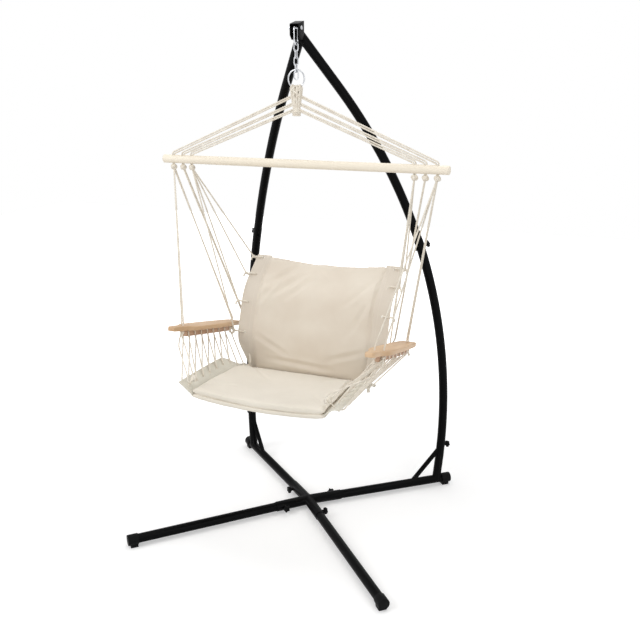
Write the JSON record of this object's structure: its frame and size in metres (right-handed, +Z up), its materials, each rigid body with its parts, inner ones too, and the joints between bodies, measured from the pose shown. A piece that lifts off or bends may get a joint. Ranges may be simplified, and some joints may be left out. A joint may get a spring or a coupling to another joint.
{
  "type": "hammock chair",
  "caption": "Cushioned hammock chair with wooden armrests, hung on ropes from a spreader bar under a two-legged curved steel stand.",
  "frame": {"origin": "on the floor, in the middle of the bounding box of the stand and chair", "axes": "+Z up, the open front of the seat faces -Y, +X is to the right of someone looking at the front"},
  "size_m": [1.176, 1.0539, 2.004],
  "materials": {
    "black_steel": "satin black powder coat",
    "black_plastic": "moulded black, matt",
    "chromed_steel": "bright",
    "cream_rope": "laid cotton cord, matt",
    "pale_wood": "pale, clear varnish",
    "tan_wood": "tan, satin varnish",
    "cream_canvas": "woven cotton canvas over padding",
    "cream_canvas_edging": "doubled canvas hem with metal eyelets"
  },
  "bodies": {
    "stand": {"base_cross": "black_steel", "leg_front_left": "black_steel", "leg_front_right": "black_steel", "foot_cap_front_left": "black_plastic", "foot_cap_front_right": "black_plastic", "foot_cap_rear_right": "black_plastic", "foot_cap_rear_left": "black_plastic", "corner_frame_left": "black_steel", "upright_lower_left": "black_steel", "upright_upper_left": "black_steel", "middle_nut_left": "black_steel", "corner_frame_right": "black_steel", "upright_lower_right": "black_steel", "upright_upper_right": "black_steel", "middle_nut_right": "black_steel", "top_bracket": "black_steel", "hang_bolt": "chromed_steel", "hang_bolt_nut": "chromed_steel"},
    "carabiner": {"carabiner": "chromed_steel"},
    "carabiner_gate": {"carabiner_gate": "chromed_steel"},
    "chain": {"chain_link_1": "chromed_steel", "chain_link_2": "chromed_steel", "chain_link_3": "chromed_steel", "chain_link_4": "chromed_steel"},
    "chain_tail_link": {"chain_tail_link": "chromed_steel"},
    "chair": {"hanging_ring": "chromed_steel", "rope_crown": "cream_rope", "spreader_bar": "pale_wood", "rope_front_left": "cream_rope", "rope_middle_left": "cream_rope", "rope_rear_left": "cream_rope", "armrest_board_left": "tan_wood", "armrest_rail_left": "tan_wood", "side_net_left": "cream_rope", "seat_strip_left": "cream_canvas_edging", "back_strip_left": "cream_canvas_edging", "rope_front_right": "cream_rope", "rope_middle_right": "cream_rope", "rope_rear_right": "cream_rope", "armrest_board_right": "tan_wood", "armrest_rail_right": "tan_wood", "side_net_right": "cream_rope", "seat_strip_right": "cream_canvas_edging", "back_strip_right": "cream_canvas_edging", "seat_cushion": "cream_canvas", "back_cushion": "cream_canvas"},
    "base_knob_front_left": {"base_knob_front_left": "black_plastic"},
    "base_knob_front_right": {"base_knob_front_right": "black_plastic"},
    "base_knob_rear_right": {"base_knob_rear_right": "black_plastic"},
    "base_knob_rear_left": {"base_knob_rear_left": "black_plastic"},
    "corner_knob_left": {"corner_knob_left": "black_plastic"},
    "corner_knob_right": {"corner_knob_right": "black_plastic"},
    "middle_knob_left": {"middle_knob_left": "black_plastic"},
    "middle_knob_right": {"middle_knob_right": "black_plastic"}
  },
  "joints": [
    {"name": "swing_fore_and_aft", "type": "hinge", "parent": "stand", "child": "carabiner", "pos_m": [0, -0.02274, 1.978], "axis": [1, 0, 0], "range_deg": [-12, 4]},
    {"name": "carabiner_gate_opening", "type": "hinge", "parent": "carabiner", "child": "carabiner_gate", "pos_m": [0, -0.03824, 1.94305], "axis": [1, 0, 0], "range_deg": [-25, 0], "stiffness_Nm_per_rad": 0.02},
    {"name": "sway_sideways", "type": "hinge", "parent": "carabiner", "child": "chain", "pos_m": [0, -0.02274, 1.9218], "axis": [0, 1, 0], "range_deg": [-2, 2]},
    {"name": "loose_link_swing", "type": "hinge", "parent": "chain", "child": "chain_tail_link", "pos_m": [0, -0.02274, 1.82504], "axis": [1, 0, 0], "range_deg": [-15, 15]},
    {"name": "turn_on_chain", "type": "hinge", "parent": "chain", "child": "chair", "pos_m": [0, -0.02274, 1.83399], "axis": [0, 0, 1], "range_deg": [-15, 15]},
    {"name": "base_knob_front_left_turn", "type": "hinge", "parent": "stand", "child": "base_knob_front_left", "pos_m": [-0.07986, -0.02024, 0.03], "axis": [0.7308, -0.6825, 0], "continuous": true},
    {"name": "base_knob_front_right_turn", "type": "hinge", "parent": "stand", "child": "base_knob_front_right", "pos_m": [0.07986, -0.02024, 0.03], "axis": [0.7308, 0.6825, 0], "continuous": true},
    {"name": "base_knob_rear_right_turn", "type": "hinge", "parent": "stand", "child": "base_knob_rear_right", "pos_m": [0.08899, 0.14122, 0.03], "axis": [-0.6492, 0.7606, 0], "continuous": true},
    {"name": "base_knob_rear_left_turn", "type": "hinge", "parent": "stand", "child": "base_knob_rear_left", "pos_m": [-0.08899, 0.14122, 0.03], "axis": [-0.6492, -0.7606, 0], "continuous": true},
    {"name": "corner_knob_left_turn", "type": "hinge", "parent": "stand", "child": "corner_knob_left", "pos_m": [-0.48308, 0.47876, 0.20019], "axis": [-0.7233, 0.688, -0.06], "continuous": true},
    {"name": "corner_knob_right_turn", "type": "hinge", "parent": "stand", "child": "corner_knob_right", "pos_m": [0.48308, 0.47876, 0.20019], "axis": [0.7233, 0.688, -0.06], "continuous": true},
    {"name": "middle_knob_left_turn", "type": "hinge", "parent": "stand", "child": "middle_knob_left", "pos_m": [-0.38129, 0.38194, 1.12867], "axis": [-0.678, 0.6449, 0.3526], "continuous": true},
    {"name": "middle_knob_right_turn", "type": "hinge", "parent": "stand", "child": "middle_knob_right", "pos_m": [0.38129, 0.38194, 1.12867], "axis": [0.678, 0.6449, 0.3526], "continuous": true}
  ]
}
